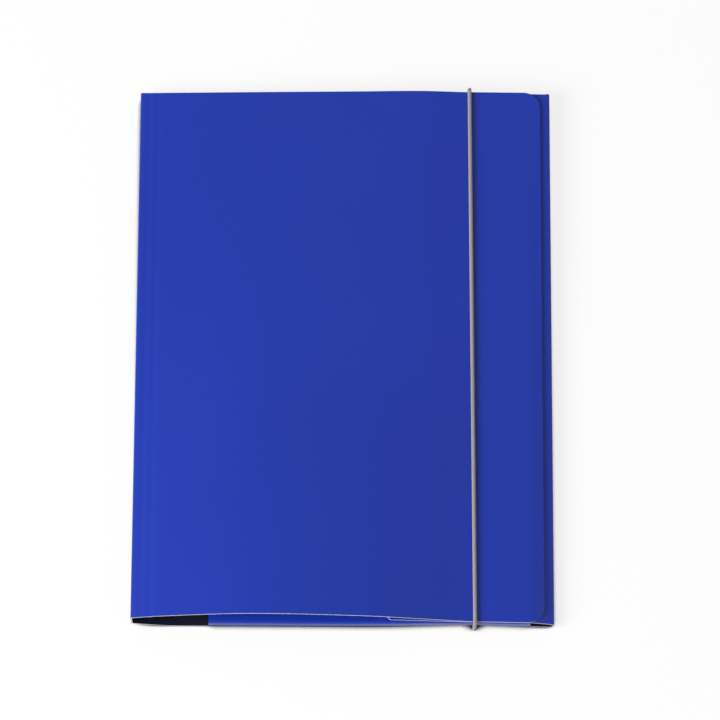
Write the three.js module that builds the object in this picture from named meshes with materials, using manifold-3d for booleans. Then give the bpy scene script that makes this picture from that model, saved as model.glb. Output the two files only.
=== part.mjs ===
// A three flap document folder of creased board, held shut by a round elastic cord.
// One creased sheet makes the spine, the back panel and the three flaps. The front cover
// is its other half, parted from it at the spine crease, where it hinges.
// Units are millimetres. The folder lies on its back: +Z is up, +Y runs from the tail
// (open, lower end) to the head, and the spine is at -X. The origin is on the table,
// under the middle of the folder.

import * as THREE from "three";
import { mergeVertices } from "three/addons/utils/BufferGeometryUtils.js";
import Module from "manifold-3d";

const wasm = await Module();
wasm.setup();

// The board and the closed folder
const folderWidth = 250;
const folderHeight = 335;
const boardThickness = 1.0;
const boardClearance = 0.45;
const creaseRadius = 1.1;

// The spine: a creased strip that gapes more at the tail than at the head
const spineRiseTail = 11.7;
const spineRiseHead = 7.0;
const spineLiftTail = 5.3;
const spineLiftHead = 1.0;
const spineLiftReach = 32;
const spineCreasePitch = 6;
const hingeClearance = 0.9;

// The front cover
const coverInset = 6;
const coverCornerRadius = 10;
const coverCrestFromSpine = 76;
const coverCrestTail = 29;
const coverCrestHead = 11.4;
const coverShoulderFromSpine = 20;
const coverShoulderTail = 22.3;
const coverShoulderHead = 9.2;
const coverFlankFromCord = 68;
const coverFlankTail = 25.2;
const coverFlankHead = 13.4;
const coverKneeFromCord = 30;
const coverKneeTail = 18.6;
const coverKneeHead = 14.9;
const coverSlackTail = 0.1;
const coverSlackHead = 0.3;

// The three flaps
const gussetHeight = 6;
const sideGussetTail = 4.6;
const sideGussetHead = 7;
const endFlapDepth = 95;
const endFlapFromSpine = 45.7;
const endFlapFromFold = 14;
const endFlapChamfer = 9;
const endFlapTongue = 6;
const endFlapRelief = 2.5;
const endFlapThinning = 0.02;
const endFlapSpringTail = 13;
const endFlapSpringHead = 5;
const sideFlapReach = 105;
const sideFlapInset = 0.3;
const sideFlapChamfer = 8;
const sideFlapSpringTail = 7.4;
const sideFlapSpringHead = 3.0;

// The elastic cord, its eyelets in the back panel and its crimped ends
const cordDiameter = 2.5;
const cordClearance = 0.3;
const cordFromFoldTail = 47;
const cordFromFoldHead = 49;
const cordLiftReach = 85;
const foldLiftTail = 1.7;
const foldLiftHead = 3.4;
const eyeletFromEdge = 36;
const eyeletBoreRadius = 1.7;
const eyeletWall = 0.5;
const eyeletFlangeRadius = 4;
const eyeletFlangeThickness = 0.5;
const clipLength = 12;
const clipWidth = 4.8;
const clipThickness = 2.4;
const clipFloor = 0.7;

// Worked out from the sizes above
const halfWidth = folderWidth / 2;
const halfHeight = folderHeight / 2;
const cordRadius = cordDiameter / 2;
const boardPitch = boardThickness + boardClearance;
const cordLift = cordDiameter + 2 * cordClearance + eyeletFlangeThickness;
const endFlapTo = folderWidth - endFlapFromFold;
const sideFlapFrom = folderWidth - sideFlapReach;
const coverTo = folderWidth - coverInset;
const cordStation = folderWidth - cordFromFoldTail;
const liftStart = cordStation - cordLiftReach;

const boardColour = 0x2a44b4;
const cordColour = 0xaaa8a6;
const metalColour = 0xb9bbbd;
const board = new THREE.MeshStandardMaterial({ color: boardColour, roughness: 0.28, metalness: 0 });
const elastic = new THREE.MeshStandardMaterial({ color: cordColour, roughness: 0.75, metalness: 0 });
const metal = new THREE.MeshStandardMaterial({ color: metalColour, roughness: 0.3, metalness: 1 });

const mix = (a, b, share) => a + (b - a) * share;
const clamp01 = (value) => Math.min(1, Math.max(0, value));
const ease = (value) => clamp01(value) ** 2 * (3 - 2 * clamp01(value));
const spread = (from, to, count) =>
  Array.from({ length: count + 1 }, (_, i) => mix(from, to, i / count));
const stretch = (from, to, count) => spread(from, to, count).slice(1);

// A smooth line through [place, height] stations, which doesn't overshoot between them.
function lineThrough(stations) {
  const steps = stations.slice(1).map(([s, z], i) => (z - stations[i][1]) / (s - stations[i][0]));
  const slopes = stations.map((_, i) => {
    if (i === 0) return steps[0];
    if (i === steps.length) return steps[i - 1];
    const [before, after] = [steps[i - 1], steps[i]];
    return before * after <= 0 ? 0 : (2 * before * after) / (before + after);
  });
  return (s) => {
    const last = stations.length - 2;
    const found = stations.findIndex((station, i) => i > 0 && s <= station[0]) - 1;
    const k = found < 0 ? last : found;
    const [[s0, z0], [s1, z1]] = [stations[k], stations[k + 1]];
    const length = s1 - s0;
    const u = clamp01((s - s0) / length);
    const blend = ease(u);
    const lean = length * u * (1 - u) * (slopes[k] * (1 - u) - slopes[k + 1] * u);
    return mix(z0, z1, blend) + lean;
  };
}

// Heights of each board's middle surface above the table. s is the distance from the
// spine, and v runs from 0 at the tail to 1 at the head.
const cordPlace = (v) => folderWidth - mix(cordFromFoldTail, cordFromFoldHead, v);

const foldLift = (v) => mix(foldLiftTail, foldLiftHead, v);
const sideGusset = (v) => mix(sideGussetTail, sideGussetHead, v);

function panelHeight(s, v) {
  const spine = mix(spineLiftTail, spineLiftHead, v) * clamp01(1 - s / spineLiftReach) ** 2;
  const cord = cordPlace(v);
  const lift =
    s <= cord
      ? cordLift * ease((s - cord + cordLiftReach) / cordLiftReach)
      : mix(cordLift, foldLift(v), ease((s - cord) / (folderWidth - cord)));
  return boardThickness / 2 + spine + lift;
}

const hingeHeight = (v) => panelHeight(0, v) + mix(spineRiseTail, spineRiseHead, v);

// The end flaps spring up most beside the spine, and the cord holds them flat.
function endFlapHeight(s, v, depth) {
  const edge = Math.round(v);
  const share = clamp01((cordPlace(edge) - s) / (cordPlace(edge) - endFlapFromSpine)) ** 1.2;
  const spring = mix(endFlapSpringTail, endFlapSpringHead, edge) * share;
  return panelHeight(s, v) + gussetHeight + (spring * depth) / endFlapDepth;
}

// The side flap climbs from its own gusset to pass over the end flaps.
function sideFlapHeight(s, v) {
  const rise = gussetHeight + boardPitch - sideGusset(v);
  const climb = rise * ease((folderWidth - s) / endFlapFromFold);
  const share = clamp01((cordPlace(v) - s) / (cordPlace(v) - sideFlapFrom)) ** 1.3;
  const spring = mix(sideFlapSpringTail, sideFlapSpringHead, v) * share;
  return panelHeight(s, v) + sideGusset(v) + climb + spring;
}

// The top of the pile that the cover lies on.
function pileHeight(s, v) {
  if (s >= sideFlapFrom) return sideFlapHeight(s, v);
  const depth = Math.min(v, 1 - v) * folderHeight;
  if (s >= endFlapFromSpine && depth <= endFlapDepth) return endFlapHeight(s, v, depth);
  return panelHeight(s, v);
}

function coverEdgeLine(edge, shoulder, crest, flank, knee, slack) {
  const cord = cordPlace(edge);
  const onPile = (s) => sideFlapHeight(s, edge) + boardPitch + slack;
  return lineThrough([
    [0, hingeHeight(edge)],
    [coverShoulderFromSpine, shoulder],
    [coverCrestFromSpine, crest],
    [cord - coverFlankFromCord, flank],
    [cord - coverKneeFromCord, knee],
    [cord, onPile(cord)],
    [coverTo, onPile(coverTo)],
  ]);
}
const coverTail = coverEdgeLine(
  0, coverShoulderTail, coverCrestTail, coverFlankTail, coverKneeTail, coverSlackTail,
);
const coverHead = coverEdgeLine(
  1, coverShoulderHead, coverCrestHead, coverFlankHead, coverKneeHead, coverSlackHead,
);
const coverHeight = (s, v) =>
  Math.max(mix(coverTail(s), coverHead(s), v), pileHeight(s, v) + boardPitch);

// A closed board round a grid of middle-surface points, rows by columns. Its upper face
// is on the side that (next column) x (next row) points to.
function boardGeometry(rows, thickness = boardThickness) {
  const [rowCount, columnCount] = [rows.length, rows[0].length];
  const at = (r, c) =>
    rows[Math.min(rowCount - 1, Math.max(0, r))][Math.min(columnCount - 1, Math.max(0, c))];
  const positions = [];
  for (const side of [1, -1]) {
    for (let r = 0; r < rowCount; r++) {
      for (let c = 0; c < columnCount; c++) {
        const along = at(r, c + 1).clone().sub(at(r, c - 1));
        const across = at(r + 1, c).clone().sub(at(r - 1, c));
        const normal = along.cross(across).normalize();
        positions.push(...at(r, c).clone().addScaledVector(normal, (side * thickness) / 2));
      }
    }
  }
  const index = [];
  const quad = (a, b, c, d) => index.push(a, b, c, a, c, d);
  const upper = (r, c) => r * columnCount + c;
  const lower = (r, c) => rowCount * columnCount + upper(r, c);
  for (let r = 0; r + 1 < rowCount; r++) {
    for (let c = 0; c + 1 < columnCount; c++) {
      quad(upper(r, c), upper(r, c + 1), upper(r + 1, c + 1), upper(r + 1, c));
      quad(lower(r, c), lower(r + 1, c), lower(r + 1, c + 1), lower(r, c + 1));
    }
  }
  for (let c = 0; c + 1 < columnCount; c++) {
    const end = rowCount - 1;
    quad(upper(0, c), lower(0, c), lower(0, c + 1), upper(0, c + 1));
    quad(upper(end, c + 1), lower(end, c + 1), lower(end, c), upper(end, c));
  }
  for (let r = 0; r + 1 < rowCount; r++) {
    const end = columnCount - 1;
    quad(upper(r + 1, 0), lower(r + 1, 0), lower(r, 0), upper(r, 0));
    quad(upper(r, end), lower(r, end), lower(r + 1, end), upper(r + 1, end));
  }
  const geometry = new THREE.BufferGeometry();
  geometry.setAttribute("position", new THREE.Float32BufferAttribute(positions, 3));
  geometry.setIndex(index);
  geometry.computeVertexNormals();
  return geometry;
}

// A path of [place, height] corners with its inner corners rounded to the crease radius.
// Each corner may carry the y inset of the board's ends there.
function creasedPath(corners, arcSteps = 4) {
  const path = [corners[0]];
  for (let i = 1; i + 1 < corners.length; i++) {
    const [here, before, after] = [corners[i], corners[i - 1], corners[i + 1]];
    if (!here.crease) {
      path.push(here);
      continue;
    }
    const toBefore = new THREE.Vector2(before.s - here.s, before.z - here.z);
    const toAfter = new THREE.Vector2(after.s - here.s, after.z - here.z);
    const half = Math.acos(toBefore.clone().normalize().dot(toAfter.clone().normalize())) / 2;
    const reach = Math.min(creaseRadius / Math.tan(half), toBefore.length() / 2, toAfter.length() / 2);
    const arc = new THREE.QuadraticBezierCurve(
      new THREE.Vector2(here.s, here.z).addScaledVector(toBefore.normalize(), reach),
      new THREE.Vector2(here.s, here.z),
      new THREE.Vector2(here.s, here.z).addScaledVector(toAfter.normalize(), reach),
    );
    for (const point of arc.getPoints(arcSteps)) path.push({ s: point.x, z: point.y, inset: here.inset });
  }
  path.push(corners[corners.length - 1]);
  return path;
}

// The section across the folder, from the spine's top, round the back panel, up the side
// gusset and along the side flap to its free edge.
function sheetSection(v) {
  const half = boardThickness / 2;
  const spineFoot = panelHeight(half, v);
  const foldFoot = panelHeight(folderWidth - half, v);
  const panelPlaces = [
    ...spread(spineCreasePitch, spineLiftReach, 4),
    ...stretch(spineLiftReach, liftStart, 2),
    ...stretch(liftStart, cordStation, 6),
    ...stretch(cordStation, endFlapTo, 3),
  ];
  const flapPlaces = [
    ...spread(mix(folderWidth, endFlapTo, 0.25), endFlapTo, 3),
    ...stretch(endFlapTo, cordStation, 3),
    ...stretch(cordStation, sideFlapFrom + sideFlapChamfer, 4),
  ];
  return creasedPath([
    { s: half, z: hingeHeight(v) - hingeClearance, inset: 0 },
    { s: half, z: mix(spineFoot, hingeHeight(v), 0.5), inset: 0 },
    { s: half, z: spineFoot, inset: 0, crease: true },
    ...panelPlaces.map((s) => ({ s, z: panelHeight(s, v), inset: 0 })),
    { s: folderWidth - half, z: foldFoot, inset: 0, crease: true },
    { s: folderWidth - half, z: foldFoot + sideGusset(v), inset: 0, crease: true },
    ...flapPlaces.map((s) => ({ s, z: sideFlapHeight(s, v), inset: sideFlapInset })),
    { s: sideFlapFrom, z: sideFlapHeight(sideFlapFrom, v), inset: sideFlapInset + sideFlapChamfer },
  ]);
}

function mainSheet() {
  const shares = spread(0, 1, 10);
  const rows = shares.map((v) =>
    sheetSection(v).map(({ s, z, inset }) =>
      new THREE.Vector3(s - halfWidth, mix(inset - halfHeight, halfHeight - inset, v), z),
    ),
  );
  return boardGeometry(rows);
}

// An end flap: a tongue that lies inside the back panel's edge, the gusset, and the flap
// itself. end is -1 at the tail and +1 at the head.
function endFlap(end) {
  const v = end < 0 ? 0 : 1;
  const half = boardThickness / 2;
  const chamfered = (depth) => Math.max(0, depth - endFlapDepth + endFlapChamfer);
  const section = (s) => {
    const floor = panelHeight(s, v);
    const depths = [...stretch(0, endFlapDepth - endFlapChamfer, 4), endFlapDepth];
    return creasedPath([
      { s: endFlapTongue, z: floor, inset: 0 },
      { s: half, z: floor, inset: 0, crease: true },
      { s: half, z: floor + gussetHeight, inset: 0, crease: true },
      ...depths.map((depth) => ({
        s: half + depth,
        z: endFlapHeight(s, v, depth),
        inset: chamfered(depth),
      })),
    ]);
  };
  const places = [
    ...spread(endFlapFromSpine, liftStart, 5),
    ...stretch(liftStart, cordStation, 6),
    ...stretch(cordStation, endFlapTo, 3),
  ];
  const middle = (endFlapFromSpine + endFlapTo) / 2;
  const width = endFlapTo - endFlapFromSpine;
  const columns = places.map((place) =>
    section(place).map((point, i) => {
      const narrowed = middle + (place - middle) * (1 - (2 * point.inset) / width);
      const depth = point.s - half;
      const z = point.inset > 0 ? endFlapHeight(narrowed, v, depth) : point.z;
      return new THREE.Vector3(narrowed - halfWidth, end * (halfHeight - point.s), z);
    }),
  );
  return boardGeometry(end < 0 ? columns : columns.reverse(), boardThickness - endFlapThinning);
}

function coverBoard() {
  const arc = spread(0, 1, 5).map((share) => coverCornerRadius * (1 - Math.cos((share * Math.PI) / 2)));
  const inward = stretch(coverCornerRadius, halfHeight, 4).slice(0, -1);
  const fromTail = [...arc, ...inward].map((distance) => distance / folderHeight);
  const shares = [...fromTail, 0.5, ...fromTail.map((v) => 1 - v).reverse()];
  const creases = 2 * spineCreasePitch;
  const cornerFrom = coverTo - 2 * coverCornerRadius;
  const places = [
    hingeClearance,
    ...stretch(0, creases, 4),
    ...stretch(creases, coverCrestFromSpine, 7),
    ...stretch(coverCrestFromSpine, cordStation - coverFlankFromCord, 4),
    ...stretch(cordStation - coverFlankFromCord, cordStation, 7),
    ...stretch(cordStation, cornerFrom, 2),
    ...stretch(cornerFrom, coverTo, 4),
  ];
  const rows = shares.map((v) => {
    const fromEdge = Math.min(v, 1 - v) * folderHeight;
    const short = Math.max(0, coverCornerRadius - fromEdge);
    const trim = coverCornerRadius - Math.sqrt(coverCornerRadius ** 2 - short ** 2);
    return places.map((place) => {
      const s = place - trim * clamp01((place - cornerFrom) / (coverTo - cornerFrom));
      const y = mix(-halfHeight, halfHeight, v);
      return new THREE.Vector3(s - halfWidth + boardThickness / 2, y, coverHeight(s, v));
    });
  });
  return boardGeometry(rows);
}

function solidOf(geometry) {
  const bare = new THREE.BufferGeometry();
  bare.setAttribute("position", geometry.getAttribute("position"));
  if (geometry.index) bare.setIndex(geometry.index);
  const merged = mergeVertices(bare, 1e-4);
  return new wasm.Manifold(
    new wasm.Mesh({
      numProp: 3,
      vertProperties: new Float32Array(merged.attributes.position.array),
      triVerts: new Uint32Array(merged.index.array),
    }),
  );
}

function geometryOf(solid) {
  const mesh = solid.getMesh();
  const geometry = new THREE.BufferGeometry();
  geometry.setAttribute("position", new THREE.BufferAttribute(mesh.vertProperties, 3));
  geometry.setIndex(new THREE.BufferAttribute(mesh.triVerts, 1));
  geometry.computeVertexNormals();
  return geometry;
}

const ends = [
  { name: "tail", end: -1, v: 0 },
  { name: "head", end: 1, v: 1 },
];
const eyeletX = (v) => cordPlace(v) - halfWidth;
const eyeletY = (end) => end * (halfHeight - eyeletFromEdge);
const eyeletZ = boardThickness / 2 + cordLift;

function backWithFlaps() {
  let solid = solidOf(mainSheet());
  for (const { end, v } of ends) {
    const relief = new THREE.BoxGeometry(endFlapTo - endFlapFromSpine, 2 * endFlapRelief, gussetHeight);
    relief.translate(
      (endFlapFromSpine + endFlapTo) / 2 - halfWidth,
      end * halfHeight,
      boardThickness / 2 + cordLift / 2,
    );
    const holeRadius = eyeletBoreRadius + eyeletWall + cordClearance;
    const hole = new THREE.CylinderGeometry(holeRadius, holeRadius, 4 * boardThickness, 24);
    hole.rotateX(Math.PI / 2);
    hole.translate(eyeletX(v), eyeletY(end), eyeletZ);
    solid = solid.subtract(solidOf(relief)).subtract(solidOf(hole)).add(solidOf(endFlap(end)));
  }
  return geometryOf(solid);
}

// The eyelet is one turned ring: a barrel through the board with a flange on each side.
function eyelet() {
  const outer = eyeletBoreRadius + eyeletWall;
  const seat = boardThickness / 2 + cordClearance;
  const rim = seat + eyeletFlangeThickness;
  const profile = [
    [eyeletBoreRadius, -rim],
    [eyeletFlangeRadius, -rim],
    [eyeletFlangeRadius, -seat],
    [outer, -seat],
    [outer, seat],
    [eyeletFlangeRadius, seat],
    [eyeletFlangeRadius, rim],
    [eyeletBoreRadius, rim],
    [eyeletBoreRadius, -rim],
  ].map(([r, z]) => new THREE.Vector2(r, z));
  return new THREE.LatheGeometry(profile, 24).rotateX(Math.PI / 2);
}

// The crimped end of the cord: a flat bar, too long for the eyelet, with a socket.
const clipFoot = eyeletZ + boardThickness / 2 + cordClearance + eyeletFlangeThickness + cordClearance;
function cordClip() {
  const radius = clipWidth / 2;
  const straight = (clipLength - clipWidth) / 2;
  const outline = new THREE.Shape();
  outline.absarc(straight, 0, radius, -Math.PI / 2, Math.PI / 2);
  outline.absarc(-straight, 0, radius, Math.PI / 2, (3 * Math.PI) / 2);
  const bar = new THREE.ExtrudeGeometry(outline, { depth: clipThickness, bevelEnabled: false, curveSegments: 8 });
  const socketRadius = cordRadius + cordClearance;
  const socket = new THREE.CylinderGeometry(socketRadius, socketRadius, 2 * (clipThickness - clipFloor), 16);
  socket.rotateX(Math.PI / 2);
  return geometryOf(solidOf(bar).subtract(solidOf(socket)));
}

// The cord's route: up through one eyelet from its clip, round the edges and back. The
// points are spaced by hand round each bend, so the curve is followed by point number.
class CordRoute extends THREE.Curve {
  constructor(points) {
    super();
    this.points = points;
  }
  getPoint(t, target = new THREE.Vector3()) {
    const place = clamp01(t) * (this.points.length - 1);
    const i = Math.min(this.points.length - 2, Math.floor(place));
    return target.lerpVectors(this.points[i], this.points[i + 1], place - i);
  }
  getUtoTmapping(u) {
    return u;
  }
}

const cordHeightOnCover = (v) =>
  coverHeight(cordPlace(v), v) + boardThickness / 2 + cordClearance + cordRadius;

function cordPoints() {
  const bend = cordRadius + cordClearance + 0.15;
  const quarter = (centre, end, from, to) =>
    spread(from, to, 5).map(
      (angle) =>
        new THREE.Vector3(centre.x, centre.y + end * bend * Math.cos(angle), centre.z + bend * Math.sin(angle)),
    );
  const halfRoute = ({ end, v }) => {
    const x = eyeletX(v);
    const under = cordRadius;
    const over = cordHeightOnCover(v);
    const outside = halfHeight + cordClearance + cordRadius;
    const top = clipFoot + clipThickness - clipFloor - cordClearance;
    const y = eyeletY(end);
    const start = new THREE.Vector3(x, y, top);
    const down = quarter({ x, y: y + end * bend, z: under + bend }, end, Math.PI, 1.5 * Math.PI);
    const up = quarter({ x, y: end * (outside - bend), z: under + bend }, end, -0.5 * Math.PI, 0);
    const onto = quarter({ x, y: end * (outside - bend), z: over - bend }, end, 0, 0.5 * Math.PI);
    return [start, new THREE.Vector3(x, y, mix(top, under + bend, 0.5)), ...down, ...up, ...onto];
  };
  const [tail, head] = ends.map(halfRoute);
  const across = spread(0, 1, 8).slice(1, -1).map((share) => {
    const point = tail[tail.length - 1].clone().lerp(head[head.length - 1], share);
    return point.setZ(cordHeightOnCover(share));
  });
  return [...tail, ...across, ...head.reverse()];
}

function cordTube() {
  const sides = 10;
  const section = new THREE.Shape(
    Array.from({ length: sides }, (_, i) => {
      const angle = (i / sides) * 2 * Math.PI;
      return new THREE.Vector2(cordRadius * Math.cos(angle), cordRadius * Math.sin(angle));
    }),
  );
  const points = cordPoints();
  return new THREE.ExtrudeGeometry(section, {
    steps: points.length - 1,
    extrudePath: new CordRoute(points),
    bevelEnabled: false,
  });
}

const folder = new THREE.Group();
function addPiece(name, geometry, material, x = 0, y = 0, z = 0) {
  const mesh = new THREE.Mesh(geometry, material);
  mesh.name = name;
  mesh.position.set(x, y, z);
  folder.add(mesh);
}

addPiece("back_with_flaps", backWithFlaps(), board);
addPiece("front_cover", coverBoard(), board);
addPiece("elastic_cord", cordTube(), elastic);
for (const { name, end, v } of ends) {
  addPiece(`${name}_eyelet`, eyelet(), metal, eyeletX(v), eyeletY(end), eyeletZ);
  addPiece(`${name}_cord_clip`, cordClip(), metal, eyeletX(v), eyeletY(end), clipFoot);
}

export default folder;
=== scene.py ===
# %% [markdown]
# # A three flap folder, closed and lying on its back
#
# The real object is one sheet of glossy blue board, creased into a front cover, a spine,
# a back panel and three inner flaps. A grey elastic cord runs through the back panel and
# round the cover, and keeps it shut. The CAD model gives every size and place. This lesson
# gives the same pieces their finish: smooth creases, pale cut edges, film and braid.

# %% Load the fixed frame
import math

import bmesh
import bpy
from mathutils import Matrix, Vector


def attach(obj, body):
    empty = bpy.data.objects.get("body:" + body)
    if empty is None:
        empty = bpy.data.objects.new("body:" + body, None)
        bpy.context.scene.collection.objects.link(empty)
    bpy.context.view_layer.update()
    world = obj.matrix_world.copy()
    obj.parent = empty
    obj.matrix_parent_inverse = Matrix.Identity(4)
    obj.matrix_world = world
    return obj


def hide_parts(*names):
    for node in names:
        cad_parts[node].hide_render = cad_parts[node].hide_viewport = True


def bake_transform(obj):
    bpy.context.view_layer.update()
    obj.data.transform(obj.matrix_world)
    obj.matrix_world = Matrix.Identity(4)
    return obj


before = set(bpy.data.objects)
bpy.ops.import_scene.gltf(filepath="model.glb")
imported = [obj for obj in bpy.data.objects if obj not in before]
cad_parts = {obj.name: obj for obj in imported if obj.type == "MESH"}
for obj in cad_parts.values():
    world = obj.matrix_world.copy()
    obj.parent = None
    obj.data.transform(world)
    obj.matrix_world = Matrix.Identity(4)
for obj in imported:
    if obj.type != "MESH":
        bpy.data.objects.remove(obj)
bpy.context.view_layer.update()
scene = bpy.context.scene
mm = 0.001
print("nodes:", ", ".join(sorted(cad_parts)))

# %% [markdown]
# ## The camera
#
# The photograph was taken from nearly overhead, a little from the tail end, with a long
# lens. The camera is placed by four angles and distances: where it stands round the
# folder, how high, how far, and how much it is turned about its own line of sight.

# %% Place the camera
CAMERA_AZIMUTH = math.radians(-1.257)
CAMERA_ELEVATION = math.radians(71.518)
CAMERA_ROLL = math.radians(1.522)
CAMERA_DISTANCE = 2912.8 * mm
CAMERA_TARGET = Vector((9.76 * mm, -0.9 * mm, 0))
CAMERA_LENS = 241.63
SENSOR_WIDTH = 36.0

away = Vector((
    math.sin(CAMERA_AZIMUTH) * math.cos(CAMERA_ELEVATION),
    -math.cos(CAMERA_AZIMUTH) * math.cos(CAMERA_ELEVATION),
    math.sin(CAMERA_ELEVATION),
))
level = Vector((math.cos(CAMERA_AZIMUTH), math.sin(CAMERA_AZIMUTH), 0))
upright = away.cross(level)
sideways = math.cos(CAMERA_ROLL) * level + math.sin(CAMERA_ROLL) * upright
overhead = away.cross(sideways)
camera_data = bpy.data.cameras.new("camera")
camera_data.lens = CAMERA_LENS
camera_data.sensor_width = SENSOR_WIDTH
camera_data.clip_end = 50
camera = bpy.data.objects.new("camera", camera_data)
turn = Matrix((sideways, overhead, away)).transposed()
camera.matrix_world = Matrix.Translation(CAMERA_TARGET + CAMERA_DISTANCE * away) @ turn.to_4x4()
scene.collection.objects.link(camera)
scene.camera = camera
print("camera at", [round(c, 3) for c in camera.matrix_world.translation])

# %% [markdown]
# ## The sizes of the folded sheet
#
# These are the sizes that the folded board is made from, in millimetres. Places across
# the folder are measured from the spine, and `v` runs from 0 at the tail to 1 at the head.

# %% Name the sizes
FOLDER_WIDTH = 250
FOLDER_HEIGHT = 335
BOARD = 1.0
CLEARANCE = 0.45
CREASE_RADIUS = 1.1
HALF_WIDTH = FOLDER_WIDTH / 2
HALF_HEIGHT = FOLDER_HEIGHT / 2

SPINE_RISE = (11.7, 7.0)
SPINE_LIFT = (5.3, 1.0)
SPINE_LIFT_REACH = 32
CREASE_PITCH = 6

COVER_INSET = 6
COVER_CORNER = 10
COVER_CREST_PLACE = 76
COVER_CREST = (29, 11.4)
COVER_SHOULDER_PLACE = 20
COVER_SHOULDER = (22.3, 9.2)
COVER_FLANK_BEFORE_CORD = 68
COVER_FLANK = (25.2, 13.4)
COVER_KNEE_BEFORE_CORD = 30
COVER_KNEE = (18.6, 14.9)
COVER_SLACK = (0.1, 0.3)

GUSSET = 6
SIDE_GUSSET = (4.6, 7.0)
END_FLAP_DEPTH = 95
END_FLAP_FROM_SPINE = 45.7
END_FLAP_FROM_FOLD = 14
END_FLAP_CHAMFER = 9
END_FLAP_SPRING = (13, 5)
SIDE_FLAP_REACH = 105
SIDE_FLAP_INSET = 0.3
SIDE_FLAP_CHAMFER = 8
SIDE_FLAP_SPRING = (7.4, 3.0)
END_SPRING_CURVE = 1.2
SIDE_SPRING_CURVE = 1.3

CORD = 2.5
CORD_CLEARANCE = 0.3
CORD_FROM_FOLD = (47, 49)
CORD_LIFT_REACH = 85
FOLD_LIFT = (1.7, 3.4)
EYELET_FROM_EDGE = 36
FLANGE_THICKNESS = 0.5

BOARD_PITCH = BOARD + CLEARANCE
CORD_LIFT = CORD + 2 * CORD_CLEARANCE + FLANGE_THICKNESS
END_FLAP_TO = FOLDER_WIDTH - END_FLAP_FROM_FOLD
SIDE_FLAP_FROM = FOLDER_WIDTH - SIDE_FLAP_REACH
COVER_TO = FOLDER_WIDTH - COVER_INSET
CORD_STATION = FOLDER_WIDTH - CORD_FROM_FOLD[0]
LIFT_START = CORD_STATION - CORD_LIFT_REACH
print("board", BOARD, "mm, folder", FOLDER_WIDTH, "by", FOLDER_HEIGHT, "mm")


# %% [markdown]
# ## How high each layer lies
#
# Board bends in long smooth curves, never in dents. So each layer's height is a smooth
# line through a few stations at the tail, another at the head, and an even blend between
# the two. Each layer lies on the one below it with a board's thickness between them.

# %% Smooth lines and blends
def mix(a, b, share):
    return a + (b - a) * share


def clamp01(value):
    return min(1.0, max(0.0, value))


def ease(value):
    value = clamp01(value)
    return value * value * (3 - 2 * value)


def spread(start, stop, count):
    return [mix(start, stop, i / count) for i in range(count + 1)]


def line_through(stations):
    """A smooth line through (place, height) stations that doesn't overshoot."""
    steps = [(b[1] - a[1]) / (b[0] - a[0]) for a, b in zip(stations, stations[1:])]
    slopes = [steps[0]]
    for before, after in zip(steps, steps[1:]):
        same_way = before * after > 0
        slopes.append(2 * before * after / (before + after) if same_way else 0)
    slopes.append(steps[-1])

    def height(s):
        k = next((i for i in range(len(steps)) if s <= stations[i + 1][0]), len(steps) - 1)
        (s0, z0), (s1, z1) = stations[k], stations[k + 1]
        u = clamp01((s - s0) / (s1 - s0))
        lean = (s1 - s0) * u * (1 - u) * (slopes[k] * (1 - u) - slopes[k + 1] * u)
        return mix(z0, z1, ease(u)) + lean

    return height


# %% The height of each layer
def cord_place(v):
    return FOLDER_WIDTH - mix(*CORD_FROM_FOLD, v)


def panel_height(s, v):
    spine = mix(*SPINE_LIFT, v) * clamp01(1 - s / SPINE_LIFT_REACH) ** 2
    cord = cord_place(v)
    if s <= cord:
        lift = CORD_LIFT * ease((s - cord + CORD_LIFT_REACH) / CORD_LIFT_REACH)
    else:
        lift = mix(CORD_LIFT, mix(*FOLD_LIFT, v), ease((s - cord) / (FOLDER_WIDTH - cord)))
    return BOARD / 2 + spine + lift


def hinge_height(v):
    return panel_height(0, v) + mix(*SPINE_RISE, v)


def end_flap_height(s, v, depth):
    edge = round(v)
    cord = cord_place(edge)
    share = clamp01((cord - s) / (cord - END_FLAP_FROM_SPINE)) ** END_SPRING_CURVE
    spring = mix(*END_FLAP_SPRING, edge) * share
    return panel_height(s, v) + GUSSET + spring * depth / END_FLAP_DEPTH


def side_flap_height(s, v):
    gusset = mix(*SIDE_GUSSET, v)
    climb = (GUSSET + BOARD_PITCH - gusset) * ease((FOLDER_WIDTH - s) / END_FLAP_FROM_FOLD)
    cord = cord_place(v)
    share = clamp01((cord - s) / (cord - SIDE_FLAP_FROM)) ** SIDE_SPRING_CURVE
    return panel_height(s, v) + gusset + climb + mix(*SIDE_FLAP_SPRING, v) * share


def pile_height(s, v):
    if s >= SIDE_FLAP_FROM:
        return side_flap_height(s, v)
    depth = min(v, 1 - v) * FOLDER_HEIGHT
    if s >= END_FLAP_FROM_SPINE and depth <= END_FLAP_DEPTH:
        return end_flap_height(s, v, depth)
    return panel_height(s, v)


def cover_edge_line(edge):
    cord = cord_place(edge)
    return line_through([
        (0, hinge_height(edge)),
        (COVER_SHOULDER_PLACE, COVER_SHOULDER[edge]),
        (COVER_CREST_PLACE, COVER_CREST[edge]),
        (cord - COVER_FLANK_BEFORE_CORD, COVER_FLANK[edge]),
        (cord - COVER_KNEE_BEFORE_CORD, COVER_KNEE[edge]),
        (cord, side_flap_height(cord, edge) + BOARD_PITCH + COVER_SLACK[edge]),
        (COVER_TO, side_flap_height(COVER_TO, edge) + BOARD_PITCH + COVER_SLACK[edge]),
    ])


cover_tail = cover_edge_line(0)
cover_head = cover_edge_line(1)


def cover_height(s, v):
    free = mix(cover_tail(s), cover_head(s), v)
    return max(free, pile_height(s, v) + BOARD_PITCH)


print("cover's crown at the tail:", round(cover_height(COVER_CREST_PLACE, 0), 1), "mm")


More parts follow.
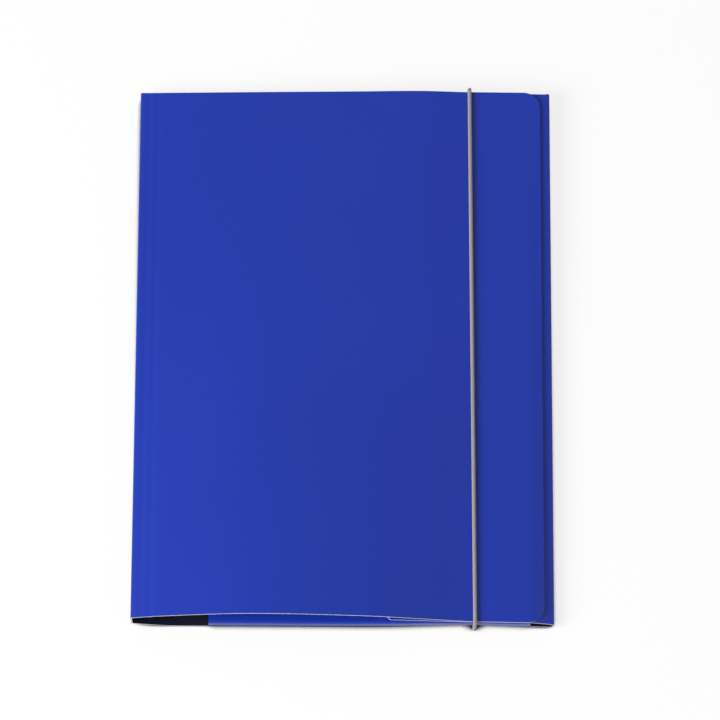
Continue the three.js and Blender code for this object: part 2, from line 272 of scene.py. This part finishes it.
# %% [markdown]
# ## Colours and material nodes
#
# Colours are written as sRGB hex values, as a colour picker shows them, and one function
# turns them to the linear values that Blender calculates with.

# %% Helpers for materials
def linear(hex_colour):
    channels = [int(hex_colour[i : i + 2], 16) / 255 for i in (1, 3, 5)]
    curve = [c / 12.92 if c <= 0.04045 else ((c + 0.055) / 1.055) ** 2.4 for c in channels]
    return (*curve, 1.0)


def add_node(owner, kind, links=(), **settings):
    """Adds a node to a material or a node tree, sets its inputs or properties and links it."""
    tree = getattr(owner, "node_tree", owner)
    node = tree.nodes.new(kind)
    for name, value in settings.items():
        if hasattr(node, name):
            setattr(node, name, value)
        else:
            node.inputs[name.replace("_", " ")].default_value = value
    for socket, source in dict(links).items():
        tree.links.new(source, node.inputs[socket])
    return node


def maths(owner, operation, a, b=0.0):
    node = add_node(owner, "ShaderNodeMath", operation=operation)
    for socket, value in zip(node.inputs, (a, b)):
        if isinstance(value, (int, float)):
            socket.default_value = value
        else:
            getattr(owner, "node_tree", owner).links.new(value, socket)
    return node.outputs[0]


def new_material(name, **shader):
    material = bpy.data.materials.new(name)
    material.use_nodes = True
    principled = material.node_tree.nodes["Principled BSDF"]
    for socket, value in shader.items():
        principled.inputs[socket.replace("_", " ")].default_value = value
    return material, principled


def feed(material, shader, **sources):
    for socket, source in sources.items():
        material.node_tree.links.new(source, shader.inputs[socket.replace("_", " ")])


def noise(material, scale, detail):
    """An uneven pattern that is fixed to the piece. A larger scale makes it finer."""
    place = add_node(material, "ShaderNodeTexCoord")
    links = {"Vector": place.outputs["Object"]}
    return add_node(material, "ShaderNodeTexNoise", links, Scale=scale, Detail=detail).outputs["Fac"]


def bump(material, height, strength, depth, under=None):
    """Tilts the surface by a pattern. `depth` is in millimetres."""
    links = {"Height": height}
    if under:
        links["Normal"] = under
    node = add_node(material, "ShaderNodeBump", links, Strength=strength, Distance=depth * mm)
    return node.outputs["Normal"]


def two_tones(material, share, first, second):
    node = add_node(material, "ShaderNodeMix", {"Factor": share}, data_type="RGBA")
    node.inputs[6].default_value = linear(first)
    node.inputs[7].default_value = linear(second)
    return node.outputs[2]


# %% [markdown]
# ## Film laminated pressboard
#
# The outside of the board is printed blue and covered with a clear gloss film. The film
# gives a sharp highlight, but the board's pulp shows through it as a faint unevenness of
# about two millimetres, and as a slow waviness over several centimetres. The colour
# drifts very slightly, as ink on board does.

# %% The board's three surfaces
BLUE = "#1A38B2"
BLUE_DEEP = "#1733A6"
# The inner face is a matte dark navy, made nearly black so that its colour also stands in for the
# shade inside the closed folder: painted shade.
INNER_NAVY_WITH_PAINTED_SHADE = "#090B26"
CORE = "#EDEAF4"
CORE_SHADE = "#CDC9DA"

laminated_board, shader = new_material("laminated_pressboard", Roughness=0.24, IOR=1.5)
ink = two_tones(laminated_board, noise(laminated_board, 9, 3), BLUE, BLUE_DEEP)
pulp = bump(laminated_board, noise(laminated_board, 500, 4), 0.12, 0.05)
wave = bump(laminated_board, noise(laminated_board, 28, 2), 0.25, 0.3, under=pulp)
feed(laminated_board, shader, Base_Color=ink, Normal=wave)

# Matte inner face of the board; its near-black colour is partly the board's navy and partly painted
# shade.
inner_board_painted_shade, shader = new_material(
    "lined_board_inside", Roughness=0.7, Specular_IOR_Level=0.25, Base_Color=linear(INNER_NAVY_WITH_PAINTED_SHADE),
)
feed(inner_board_painted_shade, shader, Normal=bump(inner_board_painted_shade, noise(inner_board_painted_shade, 900, 5), 0.3, 0.06))

cut_core, shader = new_material("cut_board_core", Roughness=0.85)
feed(cut_core, shader, Base_Color=two_tones(cut_core, noise(cut_core, 1200, 4), CORE, CORE_SHADE))
BOARD_MATERIALS = (laminated_board, inner_board_painted_shade, cut_core)
INNER_FACE = BOARD_MATERIALS.index(inner_board_painted_shade)
CUT = BOARD_MATERIALS.index(cut_core)


# %% [markdown]
# ## A board from its middle surface
#
# Each piece of board is drawn as one grid of faces along its middle, with no thickness.
# The Solidify modifier then gives it its millimetre, puts the dark inner material, whose colour
# holds painted shade, on the inner face, and leaves the bare core on the cut edges. A die cutter
# leaves those edges crisp.

# %% Helpers for sheets of board
WELD = 0.02 * mm
NO_LENGTH = 0.001 * mm


def sheet_object(name, rows):
    """One mesh from rows of points in millimetres. Points that fall together are welded."""
    surface = bmesh.new()
    made = [[surface.verts.new(Vector(point) * mm) for point in row] for row in rows]
    for low, high in zip(made, made[1:]):
        for i in range(len(low) - 1):
            surface.faces.new((low[i], low[i + 1], high[i + 1], high[i]))
    bmesh.ops.remove_doubles(surface, verts=surface.verts, dist=WELD)
    bmesh.ops.dissolve_degenerate(surface, dist=NO_LENGTH, edges=surface.edges)
    mesh = bpy.data.meshes.new(name)
    surface.to_mesh(mesh)
    surface.free()
    piece = bpy.data.objects.new(name, mesh)
    scene.collection.objects.link(piece)
    return piece


def make_board(piece):
    """Gives the sheet its thickness, and its three materials."""
    for material in BOARD_MATERIALS:
        piece.data.materials.append(material)
    thick = piece.modifiers.new("thickness", "SOLIDIFY")
    thick.thickness = BOARD * mm
    thick.offset = 0
    thick.use_even_offset = True
    thick.material_offset = INNER_FACE
    thick.material_offset_rim = CUT
    apply_modifiers(piece)


def apply_modifiers(piece):
    graph = bpy.context.evaluated_depsgraph_get()
    mesh = bpy.data.meshes.new_from_object(piece.evaluated_get(graph))
    piece.modifiers.clear()
    piece.data = mesh
    for face in mesh.polygons:
        face.use_smooth = face.material_index != CUT
    sharpen_cut_edges(mesh)


def sharpen_cut_edges(mesh):
    """Keeps the face shading apart from the cut edge's, so that a flat face stays flat."""
    cut_faces = [face for face in mesh.polygons if face.material_index == CUT]
    cut_edges = {key for face in cut_faces for key in face.edge_keys}
    for edge in mesh.edges:
        edge.use_edge_sharp = edge.key in cut_edges


def rounded(corners, steps=6):
    """A path of (place, height, extra) corners, with the ones marked True rounded off."""
    path = []
    for i, (s, z, extra, crease) in enumerate(corners):
        if not crease:
            path.append((s, z, extra))
            continue
        here = Vector((s, z))
        before = Vector(corners[i - 1][:2]) - here
        after = Vector(corners[i + 1][:2]) - here
        half_angle = before.angle(after) / 2
        reach = min(CREASE_RADIUS / math.tan(half_angle), before.length / 2, after.length / 2)
        a = here + before.normalized() * reach
        b = here + after.normalized() * reach
        for t in spread(0, 1, steps):
            bend = (1 - t) ** 2 * a + 2 * t * (1 - t) * here + t * t * b
            path.append((bend.x, bend.y, extra))
    return path


# %% [markdown]
# ## The back: spine, panel and flaps
#
# The spine, the back panel and the side flap are one section, carried from the tail to
# the head. Each end flap is a sheet of its own. It starts on the panel, `END_SEAM` inside
# the edge, at the panel's own places across, so that the two meet without a gap. Places
# keep some room beside every crease, because the crease is rounded there.

# %% Draw the back's section
HALF_BOARD = BOARD / 2
SPINE_SPLIT = 4.0
CREASE_SLACK = 0.6
CREASE_ROOM = CREASE_RADIUS + HALF_BOARD + CREASE_SLACK
FOLD_ROOM = 3
END_SEAM = CREASE_ROOM
RELIEF = 0.3


def panel_places():
    """Places across the panel, with one at each end of the end flaps."""
    return (
        spread(FOLD_ROOM, END_FLAP_FROM_SPINE - RELIEF, 14)
        + [END_FLAP_FROM_SPINE]
        + spread(END_FLAP_FROM_SPINE, LIFT_START, 18)[1:]
        + spread(LIFT_START, CORD_STATION, 24)[1:]
        + spread(CORD_STATION, END_FLAP_TO, 10)[1:]
        + spread(END_FLAP_TO + RELIEF, FOLDER_WIDTH - FOLD_ROOM, 4)
    )


def panel_inset(s, v):
    """Where an end flap carries on from the panel, the panel stops short of its crease."""
    under_flap = END_FLAP_FROM_SPINE <= s <= END_FLAP_TO
    return END_SEAM if under_flap and v in (0, 1) else 0


def flap_places():
    return (
        spread(FOLDER_WIDTH - FOLD_ROOM, END_FLAP_TO, 5)
        + spread(END_FLAP_TO, CORD_STATION, 9)[1:]
        + spread(CORD_STATION, SIDE_FLAP_FROM + SIDE_FLAP_CHAMFER, 14)[1:]
        + spread(SIDE_FLAP_FROM + SIDE_FLAP_CHAMFER, SIDE_FLAP_FROM, 3)[1:]
    )


def side_inset(s):
    return SIDE_FLAP_INSET + max(0, SIDE_FLAP_FROM + SIDE_FLAP_CHAMFER - s)


def back_section(v):
    foot = panel_height(HALF_BOARD, v)
    fold = panel_height(FOLDER_WIDTH - HALF_BOARD, v)
    top = hinge_height(v) - SPINE_SPLIT
    return rounded(
        [(HALF_BOARD, z, 0, False) for z in spread(top, foot + CREASE_ROOM, 2)]
        + [(HALF_BOARD, foot, 0, True)]
        + [(s, panel_height(s, v), panel_inset(s, v), False) for s in panel_places()]
        + [(FOLDER_WIDTH - HALF_BOARD, fold, 0, True)]
        + [(FOLDER_WIDTH - HALF_BOARD, fold + mix(*SIDE_GUSSET, v), 0, True)]
        + [(s, side_flap_height(s, v), side_inset(s), False) for s in flap_places()]
    )


# %% Draw the back's middle surface
ROW_COUNT = 60
END_FOLD = END_SEAM / FOLDER_HEIGHT


def back_rows():
    shares = spread(END_FOLD, 1 - END_FOLD, ROW_COUNT)
    rows = []
    for v in [0] + shares + [1]:
        row = []
        for s, z, inset in back_section(v):
            y = mix(inset - HALF_HEIGHT, HALF_HEIGHT - inset, v)
            row.append((s - HALF_WIDTH, y, z))
        rows.append(row)
    return rows[::-1]


def end_flap_columns(end):
    """An end flap from its crease on the panel to its free edge, one column for each place."""
    edge = 0 if end < 0 else 1
    middle = (END_FLAP_FROM_SPINE + END_FLAP_TO) / 2
    width = END_FLAP_TO - END_FLAP_FROM_SPINE
    places = [s for s in panel_places() if END_FLAP_FROM_SPINE <= s <= END_FLAP_TO]
    columns = []
    for place_across in places:
        floor = panel_height(place_across, edge)
        depths = spread(END_SEAM, END_FLAP_DEPTH - END_FLAP_CHAMFER, 22)
        depths += spread(END_FLAP_DEPTH - END_FLAP_CHAMFER, END_FLAP_DEPTH, 3)[1:]
        path = rounded(
            [(END_SEAM, floor, 0, False)]
            + [(HALF_BOARD, floor, 0, True)]
            + [(HALF_BOARD, floor + GUSSET, 0, True)]
            + [(HALF_BOARD + d, end_flap_height(place_across, edge, d), d, False) for d in depths]
        )
        column = []
        for from_edge, z, depth in path:
            narrowing = max(0, depth - END_FLAP_DEPTH + END_FLAP_CHAMFER)
            s = middle + (place_across - middle) * (1 - 2 * narrowing / width)
            if narrowing > 0:
                z = end_flap_height(s, edge, depth)
            column.append((s - HALF_WIDTH, end * (HALF_HEIGHT - from_edge), z))
        columns.append(column)
    return columns[::-1] if end < 0 else columns


back_board = sheet_object("back_board", back_rows())
make_board(back_board)
end_flaps = []
for flap_name, end in (("tail_flap", -1), ("head_flap", 1)):
    flap = sheet_object(flap_name, end_flap_columns(end))
    make_board(flap)
    end_flaps.append(flap)
print("back board:", len(back_board.data.polygons), "faces")

# %% [markdown]
# ## The front cover
#
# The cover starts on the spine, a few millimetres below its upper crease, and turns over
# the crease without a break.

# %% Draw the front cover
CREASE_DIP = 0.2
CREASE_HALF_WIDTH = 1.8
CREASE_PLACES = (0.95 * CREASE_PITCH, 1.84 * CREASE_PITCH)
CREASES_TO = 2 * CREASE_PITCH + 4
SPINE_TOP_ROOM = 2.4


def crease_dip(s):
    """How far the scored creases beside the spine sink the cover's surface."""
    distances = [(s - place) / CREASE_HALF_WIDTH for place in CREASE_PLACES]
    return sum(CREASE_DIP * math.exp(-(d**2)) for d in distances)


def cover_places():
    return (
        spread(CREASE_ROOM, CREASES_TO, 28)
        + spread(CREASES_TO, COVER_CREST_PLACE, 16)[1:]
        + spread(COVER_CREST_PLACE, CORD_STATION, 34)[1:]
        + spread(CORD_STATION, COVER_TO - COVER_CORNER, 8)[1:]
        + spread(COVER_TO - COVER_CORNER, COVER_TO, 6)[1:]
    )


def cover_section(v):
    top = hinge_height(v)
    return rounded(
        [(HALF_BOARD, z, 0, False) for z in spread(top - SPINE_SPLIT, top - SPINE_TOP_ROOM, 3)]
        + [(HALF_BOARD, top, 0, True)]
        + [(s, cover_height(s, v) - crease_dip(s), s, False) for s in cover_places()]
    )


def cover_rows():
    corner = [COVER_CORNER * (1 - math.cos(t * math.pi / 2)) for t in spread(0, 1, 10)]
    near = [distance / FOLDER_HEIGHT for distance in corner]
    shares = near + spread(near[-1], 1 - near[-1], 60)[1:-1] + [1 - v for v in reversed(near)]
    corner_from = COVER_TO - 2 * COVER_CORNER
    rows = []
    for v in shares:
        from_edge = min(v, 1 - v) * FOLDER_HEIGHT
        short = max(0, COVER_CORNER - from_edge)
        trim = COVER_CORNER - math.sqrt(COVER_CORNER**2 - short**2)
        row = []
        for s, z, _ in cover_section(v):
            pulled = s - trim * clamp01((s - corner_from) / (COVER_TO - corner_from))
            if pulled != s:
                z = cover_height(pulled, v)
            row.append((pulled - HALF_WIDTH, mix(-HALF_HEIGHT, HALF_HEIGHT, v), z))
        rows.append(row)
    return rows


cover = sheet_object("cover_board", cover_rows())
make_board(cover)
print("cover:", len(cover.data.polygons), "faces")

# %% [markdown]
# ## The elastic cord
#
# The cord is rubber inside a braided jacket. Its route is a list of points: up through
# an eyelet, round the edge of the folder, along the front, and back the same way.

# %% Lay the cord's route
CORD_RADIUS = CORD / 2
CORD_BEND_ROOM = 0.15
CORD_BEND = CORD_RADIUS + CORD_CLEARANCE + CORD_BEND_ROOM
CLIP_THICKNESS = 2.4
CLIP_FLOOR = 0.7
EYELET_HEIGHT = BOARD / 2 + CORD_LIFT
CLIP_FOOT = EYELET_HEIGHT + BOARD / 2 + 2 * CORD_CLEARANCE + FLANGE_THICKNESS


def cord_on_cover(v):
    return cover_height(cord_place(v), v) + BOARD / 2 + CORD_CLEARANCE + CORD_RADIUS


def bend(x, y, z, end, start, stop):
    return [
        Vector((x, y + end * CORD_BEND * math.cos(a), z + CORD_BEND * math.sin(a)))
        for a in spread(start, stop, 6)
    ]


def cord_half(end):
    v = 0 if end < 0 else 1
    x = cord_place(v) - HALF_WIDTH
    y = end * (HALF_HEIGHT - EYELET_FROM_EDGE)
    over = cord_on_cover(v)
    outside = end * (HALF_HEIGHT + CORD_CLEARANCE + CORD_RADIUS - CORD_BEND)
    top = CLIP_FOOT + CLIP_THICKNESS - CLIP_FLOOR - CORD_CLEARANCE
    low = CORD_RADIUS + CORD_BEND
    quarter = math.pi / 2
    return (
        [Vector((x, y, top)), Vector((x, y, mix(top, low, 0.5)))]
        + bend(x, y + end * CORD_BEND, low, end, 2 * quarter, 3 * quarter)
        + bend(x, outside, low, end, -quarter, 0)
        + bend(x, outside, over - CORD_BEND, end, 0, quarter)
    )


tail_half = cord_half(-1)
head_half = cord_half(1)
front_run = []
for share in spread(0, 1, 24)[1:-1]:
    point = tail_half[-1].lerp(head_half[-1], share)
    point.z = cord_on_cover(share)
    front_run.append(point)
cord_route = [point * mm for point in tail_half + front_run + head_half[::-1]]
cord_length = sum((b - a).length for a, b in zip(cord_route, cord_route[1:]))
print("cord length:", round(cord_length, 4), "m")

# %% [markdown]
# The braid is made with Geometry Nodes, because it is one yarn repeated along a path.
# Each yarn is a line that winds round the cord's route, half of them one way and half
# the other, and swings in and out so that they pass over and under each other.

# %% Build the braid's node tree
YARNS_EACH_WAY = 6
BRAID_PITCH = 7.5
YARN_WIDTH = 0.62
YARN_SWING = 0.13
YARN_SIDES = 5
STEPS_TO_A_SWING = 4
BRAID_INPUTS = {
    "Geometry": "NodeSocketGeometry", "Radius": "NodeSocketFloat", "Swing": "NodeSocketFloat",
    "Turns": "NodeSocketFloat", "Yarns": "NodeSocketInt", "Steps": "NodeSocketInt",
    "Yarn Radius": "NodeSocketFloat", "Material": "NodeSocketMaterial",
}


def braid_tree():
    tree = bpy.data.node_groups.new("braided_jacket", "GeometryNodeTree")
    for name, kind in BRAID_INPUTS.items():
        tree.interface.new_socket(name, in_out="INPUT", socket_type=kind)
    tree.interface.new_socket("Geometry", in_out="OUTPUT", socket_type="NodeSocketGeometry")
    given = tree.nodes.new("NodeGroupInput").outputs

    def put(kind, links=(), **settings):
        return add_node(tree, "GeometryNode" + kind, links, **settings)

    def calc(operation, a, b=0.0):
        return maths(tree, operation, a, b)

    def vector(operation, links):
        return add_node(tree, "ShaderNodeVectorMath", links, operation=operation).outputs[0]

    # One straight line for each yarn, with as many points as the winding needs.
    line = put("CurvePrimitiveLine").outputs[0]
    line = put("ResampleCurve", {"Curve": line, "Count": given["Steps"]}).outputs[0]
    starts = put("MeshLine", {"Count": calc("MULTIPLY", given["Yarns"], 2)}).outputs[0]
    yarns = put("InstanceOnPoints", {"Points": starts, "Instance": line}).outputs[0]
    yarns = put("RealizeInstances", {"Geometry": yarns}).outputs[0]

    # The first half of the yarns winds one way, and the second half the other way.
    number = put("CurveOfPoint").outputs["Curve Index"]
    along = put("SplineParameter").outputs["Factor"]
    second = calc("GREATER_THAN", number, calc("SUBTRACT", given["Yarns"], 0.5))
    way = calc("SUBTRACT", 1.0, calc("MULTIPLY", second, 2.0))
    winding = calc("MULTIPLY", calc("MULTIPLY", along, given["Turns"]), math.tau)
    start_angle = calc("MULTIPLY", calc("DIVIDE", number, given["Yarns"]), math.tau)
    angle = calc("ADD", calc("MULTIPLY", winding, way), start_angle)

    # Each yarn swings in and out once between one crossing and the next but one.
    swing = calc("COSINE", calc("MULTIPLY", winding, given["Yarns"]))
    swing = calc("MULTIPLY", calc("MULTIPLY", swing, way), given["Swing"])
    radius = calc("ADD", given["Radius"], swing)

    # Every point moves from its line to its place round the cord's route.
    route = {"Curves": given["Geometry"], "Factor": along}
    path = put("SampleCurve", route, mode="FACTOR").outputs
    side = vector("CROSS_PRODUCT", {0: path["Tangent"], 1: path["Normal"]})
    along_normal = calc("MULTIPLY", radius, calc("COSINE", angle))
    along_side = calc("MULTIPLY", radius, calc("SINE", angle))
    out_one = vector("SCALE", {0: path["Normal"], "Scale": along_normal})
    out_two = vector("SCALE", {0: side, "Scale": along_side})
    offset = vector("ADD", {0: out_one, 1: out_two})
    wound = vector("ADD", {0: path["Position"], 1: offset})
    yarns = put("SetPosition", {"Geometry": yarns, "Position": wound}).outputs[0]

    section = put("CurvePrimitiveCircle", {"Radius": given["Yarn Radius"]}, Resolution=YARN_SIDES)
    profile = {"Curve": yarns, "Profile Curve": section.outputs[0]}
    solid = put("CurveToMesh", profile, Fill_Caps=True).outputs[0]
    solid = put("RealizeInstances", {"Geometry": solid}).outputs[0]
    finished = put("SetMaterial", {"Geometry": solid, "Material": given["Material"]}).outputs[0]
    tree.links.new(finished, tree.nodes.new("NodeGroupOutput").inputs[0])
    return tree


def set_inputs(modifier, **values):
    """Sets a Geometry Nodes modifier's inputs by the identifiers of their sockets."""
    for item in modifier.node_group.interface.items_tree:
        key = item.name.replace(" ", "_")
        if item.in_out == "INPUT" and key in values:
            modifier[item.identifier] = values[key]


# %% [markdown]
# ## Braided polyester yarn
#
# The jacket is spun polyester, dull and slightly fuzzy, in a light grey. A little
# sheen stands for the fuzz, and a fine pattern makes the grey uneven.

# %% Make the cord
CORD_GREY = "#B4B0B4"
CORD_SHADE = "#928C8E"

braided_yarn, shader = new_material(
    "braided_polyester_yarn", Roughness=0.8, Sheen_Weight=0.25, Sheen_Roughness=0.5,
)
fuzz = two_tones(braided_yarn, noise(braided_yarn, 2500, 3), CORD_GREY, CORD_SHADE)
feed(braided_yarn, shader, Base_Color=fuzz)

route_curve = bpy.data.curves.new("elastic_route", "CURVE")
route_curve.dimensions = "3D"
route_line = route_curve.splines.new("POLY")
route_line.points.add(len(cord_route) - 1)
for point, place_on_route in zip(route_line.points, cord_route):
    point.co = (*place_on_route, 1)
cord_maker = bpy.data.objects.new("elastic_route", route_curve)
scene.collection.objects.link(cord_maker)
braid = cord_maker.modifiers.new("braid", "NODES")
braid.node_group = braid_tree()
yarn_radius = YARN_WIDTH / 2
turns = cord_length / (BRAID_PITCH * mm)
set_inputs(
    braid, Radius=(CORD_RADIUS - yarn_radius - YARN_SWING / 2) * mm, Swing=YARN_SWING / 2 * mm,
    Turns=turns, Yarns=YARNS_EACH_WAY, Steps=int(turns * YARNS_EACH_WAY * STEPS_TO_A_SWING),
    Yarn_Radius=yarn_radius * mm, Material=braided_yarn,
)
bpy.context.view_layer.update()
graph = bpy.context.evaluated_depsgraph_get()
cord_mesh = bpy.data.meshes.new_from_object(cord_maker.evaluated_get(graph))
elastic = bpy.data.objects.new("elastic", cord_mesh)
scene.collection.objects.link(elastic)
bpy.data.objects.remove(cord_maker)
for face in cord_mesh.polygons:
    face.use_smooth = True
print("braid:", len(cord_mesh.polygons), "faces")

# %% [markdown]
# ## The metal
#
# The eyelets and the cord's crimped ends are nickel plated steel, pressed to shape. The
# press leaves fine marks in the plating, which soften its reflections.

# %% Finish the metal
NICKEL = "#C4C2BC"
nickel_plate, shader = new_material(
    "nickel_plated_steel", Metallic=1.0, Base_Color=linear(NICKEL),
)
marks = {"Value": noise(nickel_plate, 1500, 3)}
gloss = add_node(nickel_plate, "ShaderNodeMapRange", marks, To_Min=0.18, To_Max=0.38)
feed(nickel_plate, shader, Roughness=gloss.outputs[0])
for node_name in ("tail_eyelet", "head_eyelet", "tail_cord_clip", "head_cord_clip"):
    cad_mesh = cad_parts[node_name].data
    cad_mesh.materials.clear()
    cad_mesh.materials.append(nickel_plate)

# %% [markdown]
# ## Pieces to the folder's back
#
# The back and its flaps and the cord are joined to the folder's back. The metal keeps
# the CAD's own pieces, and the cover's place is baked into its mesh.

# %% Join the back's pieces to its body
for piece in [back_board, *end_flaps, elastic]:
    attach(piece, "folder_back")
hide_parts("back_with_flaps")
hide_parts("elastic_cord")

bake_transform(cover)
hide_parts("front_cover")

# %% [markdown]
# ## Floor, light and background
#
# The folder lies on a white floor under soft light from two large panels. The floor shows
# as nearly plain white to the camera, and still takes the folder's shadow. The light that
# it throws back on the folder is that of a greyer paper. Under the folder's lifted edges,
# where the folder lies close above, the floor is painted nearly black: painted shade.

# %% Set the stage
FLOOR_SIZE = 6.0
FLOOR_LEVEL = -0.2 * mm
PAPER_WHITE = "#FFFFFF"
PAPER_GREY = "#9A9A9A"
GAP_SHADE = "#060812"
BACKGROUND_SHARE = 0.8
CONTACT_REACH = 7 * mm
CONTACT_SAMPLES = 16
SHADED_BELOW = 0.46
OPEN_ABOVE = 0.68
WORLD_STRENGTH = 0.35

floor_mesh = bpy.data.meshes.new("floor")
half_floor = FLOOR_SIZE / 2
floor_mesh.from_pydata(
    [(x, y, FLOOR_LEVEL) for x, y in (
        (-half_floor, -half_floor), (half_floor, -half_floor),
        (half_floor, half_floor), (-half_floor, half_floor),
    )],
    [], [(0, 1, 2, 3)],
)
floor = bpy.data.objects.new("floor", floor_mesh)
scene.collection.objects.link(floor)
white_paper, shader = new_material("white_paper_floor", Roughness=0.9)
ray = add_node(white_paper, "ShaderNodeLightPath").outputs
seen = maths(white_paper, "MAXIMUM", ray["Is Camera Ray"], ray["Is Glossy Ray"])
feed(white_paper, shader, Base_Color=two_tones(white_paper, seen, PAPER_GREY, PAPER_WHITE))
glow = add_node(white_paper, "ShaderNodeEmission", Color=linear(PAPER_WHITE), Strength=1.0)
glow_share = maths(white_paper, "MULTIPLY", ray["Is Camera Ray"], BACKGROUND_SHARE)
white_floor = add_node(
    white_paper, "ShaderNodeMixShader",
    {"Fac": glow_share, 1: shader.outputs["BSDF"], 2: glow.outputs[0]},
)
# Where the folder lies close above, an ambient occlusion mask paints the floor nearly black: painted
# shade, not a cast shadow.
nearness = add_node(
    white_paper, "ShaderNodeAmbientOcclusion", Distance=CONTACT_REACH, samples=CONTACT_SAMPLES,
)
openness = add_node(
    white_paper, "ShaderNodeMapRange", {"Value": nearness.outputs["AO"]},
    From_Min=SHADED_BELOW, From_Max=OPEN_ABOVE,
)
gap_shade = add_node(white_paper, "ShaderNodeBsdfDiffuse", Color=linear(GAP_SHADE))
shaded_floor = add_node(
    white_paper, "ShaderNodeMixShader",
    {"Fac": openness.outputs[0], 1: gap_shade.outputs[0], 2: white_floor.outputs[0]},
)
feed(white_paper, white_paper.node_tree.nodes["Material Output"], Surface=shaded_floor.outputs[0])
floor_mesh.materials.append(white_paper)

world = bpy.data.worlds.new("studio")
world.use_nodes = True
background = world.node_tree.nodes["Background"].inputs
background["Color"].default_value = linear(PAPER_WHITE)
background["Strength"].default_value = WORLD_STRENGTH
scene.world = world


def add_panel(name, place, side, power):
    """A square panel aimed at the folder. `side` is in metres and `power` in watts."""
    light = bpy.data.lights.new(name, "AREA")
    light.shape = "SQUARE"
    light.size = side
    light.energy = power
    panel = bpy.data.objects.new(name, light)
    aim = (-Vector(place)).to_track_quat("-Z", "Y").to_matrix().to_4x4()
    panel.matrix_world = Matrix.Translation(place) @ aim
    scene.collection.objects.link(panel)


add_panel("left_panel", (-2.2, -1.1, 1.7), 1.8, 104)
add_panel("right_panel", (2.6, 0.2, 1.7), 2.2, 4)

scene.view_settings.view_transform = "Standard"
scene.render.film_transparent = False
